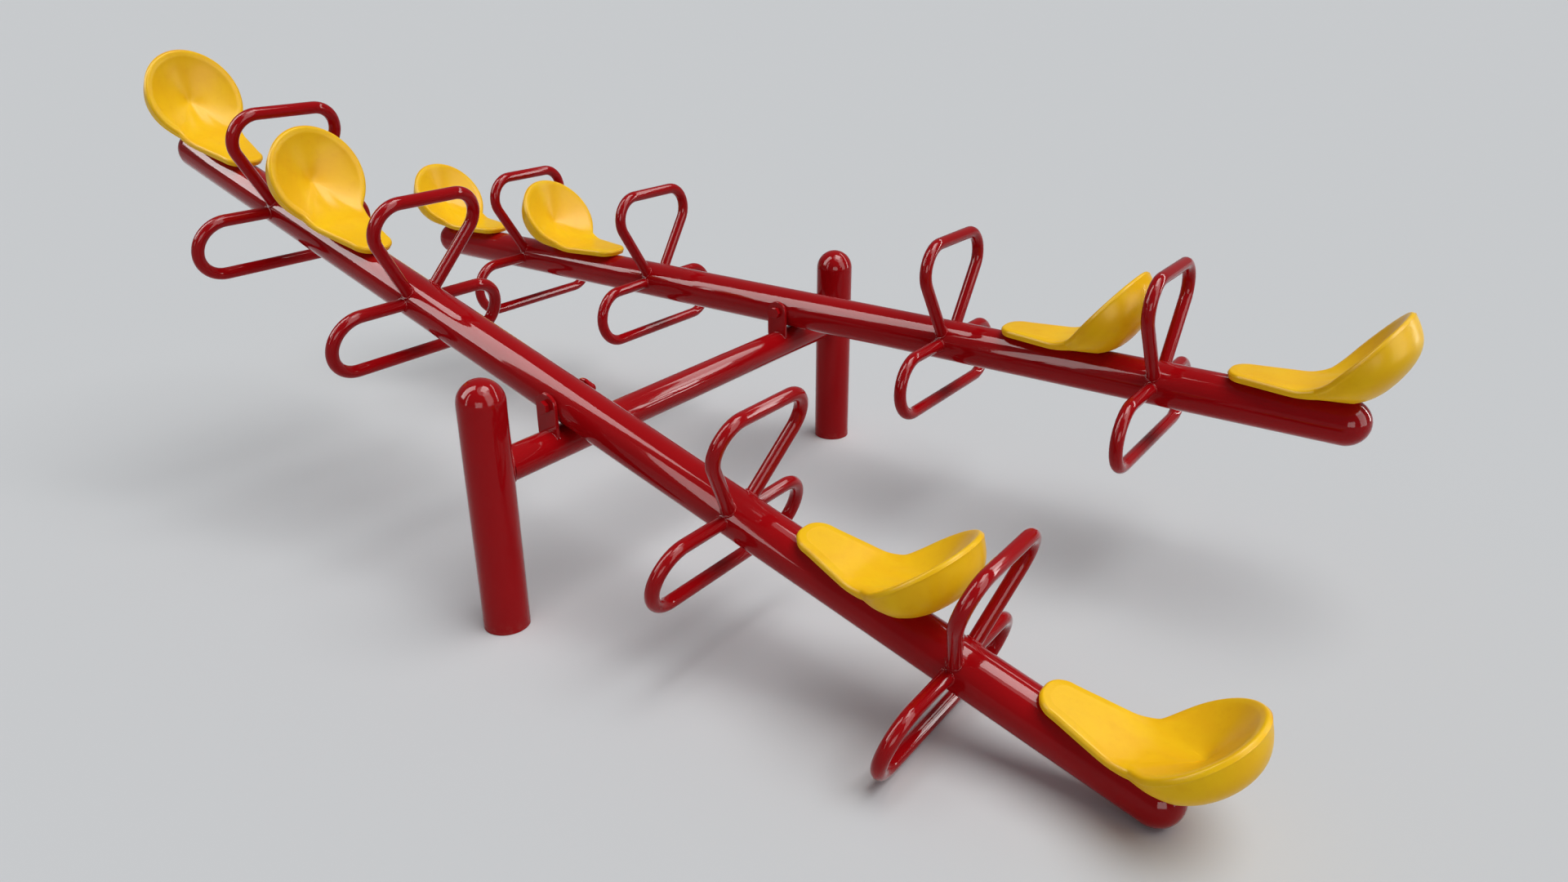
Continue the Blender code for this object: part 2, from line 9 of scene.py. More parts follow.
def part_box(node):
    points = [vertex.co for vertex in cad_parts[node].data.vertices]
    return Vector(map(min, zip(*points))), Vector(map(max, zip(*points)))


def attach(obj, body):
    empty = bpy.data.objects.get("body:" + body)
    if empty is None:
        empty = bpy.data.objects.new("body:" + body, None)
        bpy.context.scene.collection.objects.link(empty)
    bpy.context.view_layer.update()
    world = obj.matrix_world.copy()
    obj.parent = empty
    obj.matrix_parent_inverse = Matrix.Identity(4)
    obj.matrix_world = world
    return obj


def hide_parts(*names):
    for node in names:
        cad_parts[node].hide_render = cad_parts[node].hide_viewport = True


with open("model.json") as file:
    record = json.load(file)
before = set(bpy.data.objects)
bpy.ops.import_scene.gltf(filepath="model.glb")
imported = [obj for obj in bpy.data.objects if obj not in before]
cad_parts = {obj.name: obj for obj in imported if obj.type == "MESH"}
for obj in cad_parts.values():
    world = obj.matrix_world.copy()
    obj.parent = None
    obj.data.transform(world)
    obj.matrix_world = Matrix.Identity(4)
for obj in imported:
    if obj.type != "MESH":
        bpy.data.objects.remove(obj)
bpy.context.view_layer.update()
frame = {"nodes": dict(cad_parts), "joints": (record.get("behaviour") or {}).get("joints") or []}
nodes = frame["nodes"]
joints = {joint["name"]: joint for joint in frame["joints"]}
print("seesaw frame loaded,", len(nodes), "solids")


# Mesh work, the way it is done by hand

mesh = {
    "double": 0.00001,                # vertices closer than this are merged
    "onPlane": 0.0001,                # vertices this near to a plane count as lying on it
    "onRing": 0.0004,                 # the same for the ring that a dome is drawn from
    "smoothAngle": radians(40),
}


def take(*objects):
    if bpy.context.mode != "OBJECT":
        bpy.ops.object.mode_set(mode="OBJECT")
    bpy.ops.object.select_all(action="DESELECT")
    for obj in objects:
        obj.select_set(True)
    bpy.context.view_layer.objects.active = objects[0]


def added(name):
    # the primitive that was just made, with its size and turn put into its mesh
    obj = bpy.context.active_object
    obj.name = name
    obj.data.name = name
    take(obj)
    bpy.ops.object.transform_apply(location=True, rotation=True, scale=True)
    return obj


def pick(obj, kind, test):
    # select the vertices or faces that pass the test, and stay in edit mode
    take(obj)
    bpy.ops.object.mode_set(mode="EDIT")
    bpy.ops.mesh.select_mode(type="VERT" if kind == "verts" else "FACE")
    bpy.ops.mesh.select_all(action="DESELECT")
    bpy.ops.object.mode_set(mode="OBJECT")
    for item in (obj.data.vertices if kind == "verts" else obj.data.polygons):
        item.select = test(item.co if kind == "verts" else item)
    bpy.ops.object.mode_set(mode="EDIT")


def drawOut(move, scale=1.0, centre=None):
    # extrude what is selected, then narrow or widen it about a centre
    bpy.ops.mesh.extrude_region_move(TRANSFORM_OT_translate={"value": tuple(move)})
    if scale != 1.0:
        bpy.ops.transform.resize(value=(scale, scale, scale), center_override=tuple(centre))


def growDome(obj, centre, heading, radius, steps):
    # draw the open ring out and in, step by step, into a half ball
    pick(obj, "verts", lambda co: (co - centre).dot(heading) > -mesh["onRing"])
    for step in range(1, steps):
        before, after = (step - 1) / steps * pi / 2, step / steps * pi / 2
        ringCentre = centre + heading * radius * sin(after)
        drawOut(heading * radius * (sin(after) - sin(before)), cos(after) / cos(before), ringCentre)
    drawOut(heading * radius * (1 - sin(pi / 2 * (steps - 1) / steps)))
    bpy.ops.mesh.merge(type="CENTER")
    bpy.ops.object.mode_set(mode="OBJECT")


def closeUp(obj, smoothAngle=mesh["smoothAngle"]):
    # merge doubles, point the faces outwards and shade them
    take(obj)
    bpy.ops.object.mode_set(mode="EDIT")
    bpy.ops.mesh.select_all(action="SELECT")
    bpy.ops.mesh.remove_doubles(threshold=mesh["double"])
    bpy.ops.mesh.normals_make_consistent(inside=False)
    bpy.ops.object.mode_set(mode="OBJECT")
    bpy.ops.object.shade_smooth_by_angle(angle=smoothAngle)
    return obj


def capEnds(obj):
    # close the open ends of a pipe, which stay hidden inside the beam
    take(obj)
    bpy.ops.object.mode_set(mode="EDIT")
    bpy.ops.mesh.select_all(action="SELECT")
    bpy.ops.mesh.fill_holes(sides=0)
    bpy.ops.object.mode_set(mode="OBJECT")


def turnOut(obj):
    # a closed skin with a negative volume has its faces looking inwards
    work = bmesh.new()
    work.from_mesh(obj.data)
    volume = work.calc_volume(signed=True)
    work.free()
    if volume < 0:
        take(obj)
        bpy.ops.object.mode_set(mode="EDIT")
        bpy.ops.mesh.select_all(action="SELECT")
        bpy.ops.mesh.flip_normals()
        bpy.ops.object.mode_set(mode="OBJECT")
    return obj


def addModifier(obj, kind, **settings):
    modifier = obj.modifiers.new(kind.lower(), kind)
    for key, value in settings.items():
        setattr(modifier, key, value)
    take(obj)
    bpy.ops.object.modifier_apply(modifier=modifier.name)


def settle(obj, matrix):
    # put a piece in its place, with the place kept in its mesh
    obj.matrix_world = matrix
    take(obj)
    bpy.ops.object.transform_apply(location=True, rotation=True, scale=True)


def copyOf(obj, name):
    take(obj)
    bpy.ops.object.duplicate(linked=False)
    twin = bpy.context.active_object
    twin.name = name
    twin.data.name = name
    return twin


def finishPiece(obj, body, slotName, finish, *stoodFor):
    obj.data.materials.clear()
    obj.data.materials.append(finish)
    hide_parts(*stoodFor)
    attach(obj, body)


# Shader work: an expression on values adds its own Math nodes

class Value:
    def __init__(self, sheet, socket):
        self.sheet = sheet
        self.socket = socket

    def math(self, operation, first, second):
        return self.sheet.add("Math", {"operation": operation}, {0: first, 1: second})

    def __add__(self, other):
        return self.math("ADD", self, other)

    def __radd__(self, other):
        return self.math("ADD", other, self)

    def __sub__(self, other):
        return self.math("SUBTRACT", self, other)

    def __rsub__(self, other):
        return self.math("SUBTRACT", other, self)

    def __mul__(self, other):
        return self.math("MULTIPLY", self, other)

    def __rmul__(self, other):
        return self.math("MULTIPLY", other, self)


class Finish:
    def __init__(self, name):
        self.material = bpy.data.materials.new(name)
        self.material.use_nodes = True
        self.tree = self.material.node_tree
        self.shader = self.tree.nodes["Principled BSDF"]

    def add(self, kind, settings=None, sockets=None, output=0):
        node = self.tree.nodes.new("ShaderNode" + kind)
        for key, value in (settings or {}).items():
            setattr(node, key, value)
        for key, value in (sockets or {}).items():
            self.plug(node.inputs[key], value)
        return Value(self, node.outputs[output])

    def plug(self, socket, value):
        if isinstance(value, Value):
            self.tree.links.new(value.socket, socket)
        else:
            socket.default_value = value

    def coat(self, **sockets):
        # sockets of the surface shader, named as on its panel with no spaces
        for socket in self.shader.inputs:
            key = socket.name.replace(" ", "")
            if key in sockets:
                self.plug(socket, sockets.pop(key))
        assert not sockets, sockets

    def coordinates(self):
        return self.add("TexCoord", output=3)

    def noise(self, vector, scale, detail=2.0, roughness=0.5, distortion=0.0):
        return self.add("TexNoise", {"noise_dimensions": "3D"}, {
            "Vector": vector, "Scale": scale, "Detail": detail,
            "Roughness": roughness, "Distortion": distortion})

    def between(self, value, low, high):
        # 0 below low, 1 above high, smooth between
        return self.add("MapRange", {"interpolation_type": "SMOOTHSTEP"}, {
            "Value": value, "From Min": low, "From Max": high})

    def patches(self, vector, pattern):
        return self.between(self.noise(vector, *pattern["noise"]), *pattern["edges"])

    def blend(self, share, first, second):
        return self.add("Mix", {"data_type": "RGBA"}, {
            0: share, 6: first, 7: second}, output=2)

    def stretched(self, vector, scale):
        return self.add("Mapping", None, {"Vector": vector, "Scale": scale})

    def bump(self, height, distance, strength=1.0, below=None):
        sockets = {"Height": height, "Distance": distance, "Strength": strength}
        if below is not None:
            sockets["Normal"] = below
        return self.add("Bump", None, sockets)


paint = {
    "colour": (0.40, 0.0035, 0.0062, 1),
    "deepColour": (0.30, 0.0022, 0.0040, 1),
    "dustColour": (0.36, 0.07, 0.06, 1),
    "roughness": 0.11,
    "coatRoughness": 0.025,
    # noise is scale, detail and roughness; edges are where a patch begins and where it is full
    "drift": (3.1, 4.0, 0.55),
    "pooled": {"noise": (38.0, 3.0), "edges": (0.52, 0.74)},
    "specks": {"noise": (420.0, 2.0), "edges": (0.66, 0.74)},
    "scuffs": {"noise": (9.0, 3.0, 0.7), "edges": (0.69, 0.75)},
    "scuffStretch": (5.0, 60.0, 60.0),
    "dust": {"noise": (55.0, 5.0, 0.65), "edges": (0.40, 0.62)},
    "dustReach": (0.002, 0.045),      # heights over the ground between which the dust thins out
    "peel": (150.0, 2.0, 0.45),
    "grain": (900.0, 1.0),
    "grainShare": 0.12,
    "peelDepth": 0.000010,
    "drawn": (46.0, 3.0, 0.6),        # long lines along drawn tube
    "drawnStretch": 0.03,
    "drawnDepth": 0.00020,
    "ripple": (34.0, 3.0, 0.55),      # uneven steel under formed bends and domes
    "rippleDepth": 0.000055,
    "formedFade": 0.02,
}


def makePaint(name, formedFrom=0, axis=2, centre=(0, 0, 0), tilt=0):
    # thick glossy red powder coat: slow colour drift, orange peel, fine scuffs and dust;
    # beyond formedFrom along the tube's axis the steel under it was formed and is less even,
    # which at 0 is all of it
    sheet = Finish(name)
    here = sheet.coordinates()
    tube = sheet.add("Mapping", {"vector_type": "TEXTURE"}, {
        "Vector": here, "Location": centre, "Rotation": (0, tilt, 0)})
    reach = sheet.add("SeparateXYZ", None, {"Vector": tube}, output=axis)
    reach = sheet.add("Math", {"operation": "ABSOLUTE"}, {0: reach})
    formed = sheet.between(reach, formedFrom - paint["formedFade"], formedFrom)
    drift = sheet.noise(here, *paint["drift"])
    pooled = sheet.patches(here, paint["pooled"])
    specks = sheet.patches(here, paint["specks"])
    scuffs = sheet.patches(sheet.stretched(here, paint["scuffStretch"]), paint["scuffs"])
    height = sheet.add("SeparateXYZ", None, {"Vector": here}, output=2)
    dust = (1.0 - sheet.between(height, *paint["dustReach"])) * sheet.patches(here, paint["dust"])
    colour = sheet.blend(drift, paint["deepColour"], paint["colour"])
    colour = sheet.blend(pooled * 0.14, colour, paint["deepColour"])
    colour = sheet.blend(dust * 0.30 + specks * 0.03, colour, paint["dustColour"])
    peel = sheet.noise(here, *paint["peel"])
    grain = sheet.noise(here, *paint["grain"])
    ripple = sheet.noise(here, *paint["ripple"])
    along = [paint["drawnStretch"] if i == axis else 1.0 for i in range(3)]
    drawn = sheet.noise(sheet.stretched(tube, along), *paint["drawn"])
    relief = sheet.bump(peel + grain * paint["grainShare"], paint["peelDepth"])
    relief = sheet.bump(drawn * (1.0 - formed) * paint["drawnDepth"], 1.0, 1.0, relief)
    relief = sheet.bump(ripple * formed * paint["rippleDepth"], 1.0, 1.0, relief)
    sheet.coat(BaseColor=colour, Normal=relief, SpecularIORLevel=0.03, IOR=1.45, CoatIOR=1.20,
               Roughness=paint["roughness"] + pooled * 0.02 + specks * 0.05 + scuffs * 0.16 + dust * 0.3,
               CoatWeight=1.0 - scuffs * 0.35 - dust * 0.5, CoatRoughness=paint["coatRoughness"])
    return sheet.material


plastic = {
    "colour": (0.92, 0.500, 0.006, 1),
    "paleColour": (0.95, 0.560, 0.006, 1),
    "deepColour": (0.84, 0.410, 0.003, 1),
    "rubbedColour": (0.93, 0.60, 0.04, 1),
    "roughness": 0.27,
    "cloud": {"noise": (7.5, 4.0, 0.55, 0.6), "edges": (0.34, 0.66)},
    "mottle": (46.0, 3.0, 0.6),
    "mottleEdges": (0.50, 0.80),
    "scuffs": {"noise": (6.0, 4.0, 0.7), "edges": (0.66, 0.76)},
    "scuffStretch": (14.0, 70.0, 40.0),
    "specks": {"noise": (520.0, 1.0), "edges": (0.70, 0.78)},
    "skin": (640.0, 2.0, 0.6),
    "skinDepth": 0.00004,
    "waves": (17.0, 2.0),
    "waveDepth": 0.0007,
}


def makePlastic(name):
    # roto-moulded yellow plastic: satin skin, cloudy colour, faint flow and small scuffs
    sheet = Finish(name)
    here = sheet.coordinates()
    cloud = sheet.patches(here, plastic["cloud"])
    mottle = sheet.noise(here, *plastic["mottle"])
    scuffs = sheet.patches(sheet.stretched(here, plastic["scuffStretch"]), plastic["scuffs"])
    specks = sheet.patches(here, plastic["specks"])
    colour = sheet.blend(cloud, plastic["colour"], plastic["paleColour"])
    darker = sheet.between(mottle, *plastic["mottleEdges"])
    colour = sheet.blend(darker * 0.30, colour, plastic["deepColour"])
    colour = sheet.blend(scuffs * 0.22 + specks * 0.08, colour, plastic["rubbedColour"])
    relief = sheet.bump(sheet.noise(here, *plastic["skin"]), plastic["skinDepth"], 0.8)
    relief = sheet.bump(sheet.noise(here, *plastic["waves"]), plastic["waveDepth"], 1.0, relief)
    sheet.coat(BaseColor=colour, Roughness=plastic["roughness"] + mottle * 0.05 + scuffs * 0.12,
               Normal=relief, SpecularIORLevel=0.09, IOR=1.48)
    return sheet.material


nylon = {
    "colour": (0.018, 0.018, 0.020, 1),
    "paleColour": (0.040, 0.040, 0.044, 1),
    "roughness": 0.42,
    "cloud": (90.0, 3.0),
    "grit": (1400.0, 2.0),
    "gritDepth": 0.00003,
}


def makeNylon(name):
    # black bearing plastic with a faint turned sheen
    sheet = Finish(name)
    here = sheet.coordinates()
    cloud = sheet.noise(here, *nylon["cloud"])
    grit = sheet.noise(here, *nylon["grit"])
    colour = sheet.blend(cloud, nylon["colour"], nylon["paleColour"])
    sheet.coat(BaseColor=colour, Roughness=nylon["roughness"] + cloud * 0.18,
               Normal=sheet.bump(grit, nylon["gritDepth"]))
    return sheet.material


zinc = {
    "colour": (0.50, 0.51, 0.53, 1),
    "paleColour": (0.66, 0.67, 0.69, 1),
    "roughness": 0.26,
    "spangle": (260.0, 3.0),
    "spangleDepth": 0.00004,
}


def makeZinc(name):
    # plated steel of the hidden seat studs
    sheet = Finish(name)
    here = sheet.coordinates()
    spangle = sheet.noise(here, *zinc["spangle"])
    colour = sheet.blend(spangle, zinc["colour"], zinc["paleColour"])
    sheet.coat(BaseColor=colour, Metallic=1.0, Roughness=zinc["roughness"] + spangle * 0.2,
               Normal=sheet.bump(spangle, zinc["spangleDepth"]))
    return sheet.material


domesFrom = 0.590                     # the height at which the posts' domes begin
noneFormed = 9.0                      # farther along than any piece reaches
postPaint = makePaint("red_powder_coat_post", domesFrom)
pipePaint = makePaint("red_powder_coat_pipe")
crossPaint = makePaint("red_powder_coat_crossbar", noneFormed, 1)
redPaint = makePaint("red_powder_coat", noneFormed)
yellowPlastic = makePlastic("yellow_seat_plastic")
blackNylon = makeNylon("bush_nylon")
zincSteel = makeZinc("stud_zinc")
print("finishes made")


# Where things are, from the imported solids

def middle(node):
    low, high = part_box(node)
    return (low + high) / 2


levelPivot = Vector(joints["far_pivot"]["pos_m"])
tiltedPivot = Vector(joints["near_pivot"]["pos_m"])
tilt = radians(-joints["near_pivot"]["range_deg"][0] / 2)
tubeLow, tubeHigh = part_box("far_beam_tube")
beamRadius = (tubeHigh.z - tubeLow.z) / 2
beamHalf = tubeHigh.x
handleLow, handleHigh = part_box("far_handle_a_inner")
railRadius = (handleHigh.x - handleLow.x) / 2
farPostLow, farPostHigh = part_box("far_post_tube")
postRadius = (farPostHigh.y - farPostLow.y) / 2
postY = middle("far_post_tube").y
stations = {rank: middle("far_handle_a_" + rank).x for rank in ("inner", "outer")}
beamPlaces = {
    "near": Matrix.Translation(tiltedPivot) @ Matrix.Rotation(tilt, 4, "Y"),
    "far": Matrix.Translation(levelPivot),
}
sides = 72                            # flats round the posts, the crossbar and the beams


# Posts

post = {"sides": sides, "domeSteps": 18, "footRound": 0.0012}


def buildPost(side):
    low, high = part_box(side + "_post_tube")
    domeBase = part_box(side + "_post_dome")[0].z
    centre = middle(side + "_post_tube")
    radius = (high.y - low.y) / 2
    bpy.ops.object.select_all(action="DESELECT")
    bpy.ops.mesh.primitive_cylinder_add(
        vertices=post["sides"], radius=radius, depth=domeBase - post["footRound"], end_fill_type="NOTHING",
        location=(centre.x, centre.y, (domeBase + post["footRound"]) / 2))
    obj = added(side + "_post_shell")
    growDome(obj, Vector((centre.x, centre.y, domeBase)), Vector((0, 0, 1)), radius, post["domeSteps"])
    foot = Vector((centre.x, centre.y, post["footRound"]))
    pick(obj, "verts", lambda co: co.z < post["footRound"] + mesh["onPlane"])
    drawOut((0, 0, -post["footRound"]), 1 - post["footRound"] / radius, foot)
    bpy.ops.mesh.edge_face_add()
    closeUp(obj)
    finishPiece(obj, "frame", "red_paint", postPaint, side + "_post_tube", side + "_post_dome")


for side in ("near", "far"):
    buildPost(side)
print("posts made")


# Weld beads: a ring round a pipe, let down along it until it lies on the tube that carries it

bead = {"size": 0.0030, "rings": 72, "sides": 10, "ripple": 0.00035, "rippleCount": 34}


def drop(point, heading, hostAxis, hostRadius):
    # how far from the point, against the heading, the carrying tube's skin is
    across = heading - hostAxis * heading.dot(hostAxis)
    offset = point - hostAxis * point.dot(hostAxis)
    a, b, c = across.dot(across), 2 * across.dot(offset), offset.dot(offset) - hostRadius ** 2
    return (-b + sqrt(max(b * b - 4 * a * c, 0))) / (2 * a)


def weldBead(name, heading, base, pipeRadius, hostAxis, hostRadius):
    # made with the carrying tube's axis through the origin; base is a point on the pipe's axis
    turn = heading.to_track_quat("Z", "Y")
    bpy.ops.object.select_all(action="DESELECT")
    bpy.ops.mesh.primitive_torus_add(
        major_segments=bead["rings"], minor_segments=bead["sides"],
        major_radius=pipeRadius, minor_radius=bead["size"], location=base, rotation=turn.to_euler())
    obj = added(name)
    sideways = turn @ Vector((1, 0, 0))
    upwards = turn @ Vector((0, 1, 0))
    for vert in obj.data.vertices:
        spoke = vert.co - base
        along = spoke.dot(heading)
        spoke -= heading * along
        angle = atan2(spoke.dot(upwards), spoke.dot(sideways))
        swell = 1 + bead["ripple"] / bead["size"] * sin(angle * bead["rippleCount"])
        radial = pipeRadius + (spoke.length - pipeRadius) * swell
        ring = base + spoke.normalized() * pipeRadius
        landing = drop(ring, heading, hostAxis, hostRadius)
        vert.co = base + spoke.normalized() * radial + heading * (landing + along * swell)
    return obj


# Crossbar, with its two end welds and the welds along the ears' feet

crossbar = {"sides": sides, "intoPost": 0.012, "endInset": 0.3}
earWeld = {
    "size": 0.0014,
    "rings": 96,
    "sides": 8,
    "spread": 0.80,                   # below 1 the bead runs on past the ear's two edges
}


def earSeam(centre, y, radius, halfAngle):
    # a bead along the foot of an ear: part of a ring round the crossbar, closed at both ends
    bpy.ops.object.select_all(action="DESELECT")
    bpy.ops.mesh.primitive_torus_add(
        major_segments=earWeld["rings"], minor_segments=earWeld["sides"],
        major_radius=radius, minor_radius=earWeld["size"],
        location=(centre.x, y, centre.z), rotation=(pi / 2, 0, 0))
    seam = added("ear_weld")
    lowest = radius * cos(halfAngle) * earWeld["spread"]
    pick(seam, "verts", lambda co: (co.z - centre.z) < lowest)
    bpy.ops.mesh.delete(type="VERT")
    bpy.ops.mesh.select_all(action="SELECT")
    bpy.ops.mesh.region_to_loop()
    bpy.ops.mesh.fill()
    bpy.ops.object.mode_set(mode="OBJECT")
    return seam


def buildCrossbar():
    low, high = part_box("crossbar")
    centre = middle("crossbar")
    radius = (high.z - low.z) / 2
    reach = postY - postRadius + crossbar["intoPost"]
    bpy.ops.object.select_all(action="DESELECT")
    bpy.ops.mesh.primitive_cylinder_add(
        vertices=crossbar["sides"], radius=radius, depth=2 * reach, end_fill_type="NGON",
        location=centre, rotation=(pi / 2, 0, 0))
    obj = added("crossbar_tube")
    pick(obj, "faces", lambda face: abs(face.normal.y) > 0.9)
    bpy.ops.mesh.inset(thickness=radius * crossbar["endInset"])
    bpy.ops.object.mode_set(mode="OBJECT")
    parts = [obj]
    for sign in (-1, 1):
        heading = Vector((0, -sign, 0))
        ring = weldBead("crossbar_weld", heading, Vector((0, 0, 0)), radius, Vector((0, 0, 1)), postRadius)
        settle(ring, Matrix.Translation((0, sign * postY, centre.z)))
        parts.append(ring)
    for side in ("near", "far"):
        for face in ("outer", "inner"):
            earLow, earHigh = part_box(side + "_ear_" + face)
            halfAngle = 0.5 * (earHigh.x - earLow.x) / radius
            parts += [earSeam(centre, y, radius, halfAngle) for y in (earLow.y, earHigh.y)]
    take(*parts)
    bpy.ops.object.join()
    closeUp(obj)
    finishPiece(obj, "frame", "red_paint", crossPaint, "crossbar")


buildCrossbar()
print("crossbar made")


# Beams: one long tube with domed ends

beam = {"sides": sides, "domeSteps": 18}
beamPaints = {
    "near": makePaint("red_powder_coat_near_beam", beamHalf, 0, tiltedPivot, tilt),
    "far": makePaint("red_powder_coat_far_beam", beamHalf, 0, levelPivot),
}


def buildBeam(side):
    bpy.ops.object.select_all(action="DESELECT")
    bpy.ops.mesh.primitive_cylinder_add(
        vertices=beam["sides"], radius=beamRadius, depth=2 * beamHalf, end_fill_type="NOTHING",
        rotation=(0, pi / 2, 0))
    obj = added(side + "_beam_shell")
    for sign in (-1, 1):
        growDome(obj, Vector((sign * beamHalf, 0, 0)), Vector((sign, 0, 0)), beamRadius, beam["domeSteps"])
    closeUp(obj)
    settle(obj, beamPlaces[side])
    finishPiece(obj, side + "_beam", "red_paint", beamPaints[side],
                side + "_beam_tube", side + "_beam_cap_a", side + "_beam_cap_b")


for side in beamPlaces:
    buildBeam(side)
print("beams made")


# Handles and footrests: a ring of vertices drawn along half the pipe's path, then mirrored

rail = {"sides": 32}
handle = {
    "height": handleHigh.z - levelPivot.z - railRadius,
    "halfWidthAtTop": 0.2136,
    "halfWidthAtFoot": 0.021,
    "corner": 0.0698,
    "cornerSteps": 20,
    "footDepth": 0.5,                 # the pipe starts this share of the beam's radius from its middle
}
footrest = {
    "halfWidth": 0.2642,
    "drop": 0.1625,
    "bendSteps": 32,
    "footDepth": 0.6,
}


def railRing(name, place, heading):
    turn = heading.to_track_quat("Z", "Y")
    bpy.ops.object.select_all(action="DESELECT")
    bpy.ops.mesh.primitive_circle_add(
        vertices=rail["sides"], radius=railRadius, fill_type="NOTHING",
        location=place, rotation=turn.to_euler())
    obj = added(name)
    bpy.ops.object.mode_set(mode="EDIT")
    bpy.ops.mesh.select_mode(type="VERT")
    bpy.ops.mesh.select_all(action="SELECT")
    return obj


def mirrorAcross(obj):
    bpy.ops.object.mode_set(mode="OBJECT")
    for vert in obj.data.vertices:
        if abs(vert.co.y) < mesh["onPlane"]:
            vert.co.y = 0
    addModifier(obj, "MIRROR", use_axis=(False, True, False), use_clip=True, merge_threshold=mesh["onPlane"])
    closeUp(obj)


def buildHandle():
    rise = Vector((0, handle["halfWidthAtTop"] - handle["halfWidthAtFoot"], handle["height"]))
    lean = rise.normalized()
    turn = pi - atan2(lean.z, lean.y)
    setback = handle["corner"] * sin(turn / 2) / cos(turn / 2)
    elbow = Vector((0, handle["halfWidthAtTop"], handle["height"]))
    start = Vector((0, handle["halfWidthAtFoot"], 0)) + lean * beamRadius * handle["footDepth"]
    bendStart = elbow - lean * setback
    centre = Vector((0, handle["halfWidthAtTop"] - setback, handle["height"] - handle["corner"]))
    obj = railRing("handle_pipe", start, lean)
    drawOut(bendStart - start)
    bpy.ops.mesh.spin(steps=handle["cornerSteps"], angle=-turn, center=centre, axis=(1, 0, 0))
    drawOut((0, -centre.y, 0))
    mirrorAcross(obj)
    capEnds(obj)
    parts = [obj]
    for sign in (-1, 1):
        slope = Vector((0, sign * lean.y, lean.z))
        foot = Vector((0, sign * handle["halfWidthAtFoot"], 0))
        parts.append(weldBead("handle_weld", slope, foot, railRadius, Vector((1, 0, 0)), beamRadius))
    take(*parts)
    bpy.ops.object.join()
    return closeUp(obj)


def buildFootrest():
    bend = footrest["drop"] / 2
    centre = Vector((0, footrest["halfWidth"] - bend, -bend))
    start = Vector((0, beamRadius * footrest["footDepth"], 0))
    obj = railRing("footrest_pipe", start, Vector((0, 1, 0)))
    drawOut((0, centre.y - start.y, 0))
    bpy.ops.mesh.spin(steps=footrest["bendSteps"], angle=pi, center=centre, axis=(1, 0, 0))
    drawOut((0, -centre.y, 0))
    mirrorAcross(obj)
    capEnds(obj)
    parts = [obj]
    for sign in (-1, 1):
        slope = Vector((0, sign, 0))
        foot = Vector((0, 0, 0))
        parts.append(weldBead("footrest_weld", slope, foot, railRadius, Vector((1, 0, 0)), beamRadius))
    take(*parts)
    bpy.ops.object.join()
    return closeUp(obj)


# Seat: a coarse cage wrapped round the outline; each row runs from the dish over the rim to the sole

studAhead = 0.05                      # from the stud, under the tongue, to where the back starts to rise
seat = {
    "behindHandle": middle("far_seat_stud_a_inner").x + studAhead - stations["inner"],
    "sole": beamRadius + 0.0003,
    "tongueLength": 0.151,
    "tongueHalfWidth": 0.0526,
    "tongueCorner": 0.045,
    "tongueCrown": 0.0076,
    "tipTurn": pi * 0.94,             # the corner's arc begins a little past the tip's straight edge
    "tipSteps": 4,
    "sideShares": (0.22, 0.44, 0.64, 0.82),
    "neckHalfWidth": 0.0858,
    "neckRadius": 0.030,
    "neckSteps": 2,
    "bowlRadius": 0.1326,
    "bowlCentre": 0.1593,
    "bowlSteps": 9,
    "bowlFrom": -0.036,               # from here to the next station the tongue's section becomes the bowl's
    "bowlFull": 0.1,
    "bendRadius": 0.1012,
    "backAngle": radians(52.5),
    "rimHeight": 0.0163,
    "rimRound": 0.0060,               # how far the rim's skin stands out from the outline, to the side and up
    # pairs are for the tongue and for the bowl
    "rimIn": (0.0085, 0.0100),        # half width and half height of the rolled rim
    "rimUp": (0.0085, 0.0095),
    "rimAngles": ((92, 118), (67, 78), (42, 42), (-2, -2), (-42, -42)),
    "lipIn": (0.0125, 0.0155),        # how far the lip lies inside the outline
    "lipUp": (0.0072, 0.0028),        # how far it lies above the rim's middle
    "dishReach": 0.152,
    "dishRise": 0.081,
    "dishCurve": 1.9,
    "dishStops": (0, 0.30, 0.60, 0.88, 1),
    "rampEnd": 0.063,                 # up to here, from bowlFrom, the rows swing round to the dish's middle
    "wallPull": 0.33,                 # the dish wall leaves the lip square to it, this share of its length
    "wallSteep": radians(26),
    "undersideReach": 0.12,
    "undersideFall": (1.0, 0.40),
    "undersideSpread": (0.93, 0.8),
    "undersideStops": (0.25, 0.5, 0.75, 1),
    "smoothing": 3,
    "smoothAngle": radians(80),
}


def arc(centre, radius, start, end, steps):
    angles = [start + (end - start) * i / steps for i in range(steps + 1)]
    return [Vector((centre[0] + radius * cos(a), centre[1] + radius * sin(a))) for a in angles]


def curve(points, t):
    # the place at share t of a curve with four control points
    rest = 1 - t
    first, second, third, last = points
    return first * rest ** 3 + second * 3 * t * rest ** 2 + third * 3 * t ** 2 * rest + last * t ** 3


def smoothShare(value, start, end):
    share = min(max((value - start) / (end - start), 0), 1)
    return share * share * (3 - 2 * share)


def mixed(pair, share):
    return pair[0] + (pair[1] - pair[0]) * share


